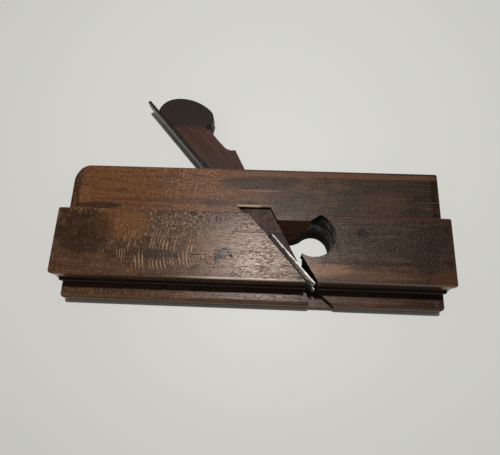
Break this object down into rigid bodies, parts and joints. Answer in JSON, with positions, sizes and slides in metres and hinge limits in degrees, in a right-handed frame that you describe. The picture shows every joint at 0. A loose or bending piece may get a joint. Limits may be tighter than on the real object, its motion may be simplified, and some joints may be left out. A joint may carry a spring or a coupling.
{
  "type": "wooden moulding plane",
  "caption": "Wooden side-escapement moulding plane with a stepped sole and fence rib, a round-headed wedge and a tanged iron, lying on its left side.",
  "frame": {"origin": "on the left side, which it lies on, at the middle of the length, level with the lip of the sole", "axes": "+X towards the toe, +Y from the sole to the top of the grip, +Z from the left side to the right side"},
  "size_m": [0.2414, 0.1449, 0.0318],
  "materials": {
    "stock_beech": "aged oiled beech, dark brown, worn satin",
    "boxing": "darkened boxwood, satin",
    "wedge_beech": "aged oiled beech, red brown, satin",
    "wrought_iron": "dark patina, dull",
    "cutting_steel": "honed, worn bright at the edge"
  },
  "bodies": {
    "stock": {"stock": "stock_beech", "boxing_slip_heel": "boxing", "boxing_slip_toe": "boxing"},
    "wedge": {"wedge": "wedge_beech"},
    "iron": {"iron_body": "wrought_iron", "iron_steel_face": "cutting_steel"}
  },
  "joints": [
    {"name": "wedge_slide", "type": "slide", "parent": "stock", "child": "wedge", "axis": [-0.6611, 0.7503, 0], "range_m": [0, 0.1]},
    {"name": "iron_slide", "type": "slide", "parent": "stock", "child": "iron", "axis": [0.6521, -0.7581, 0], "range_m": [-0.004, 0.165]}
  ]
}
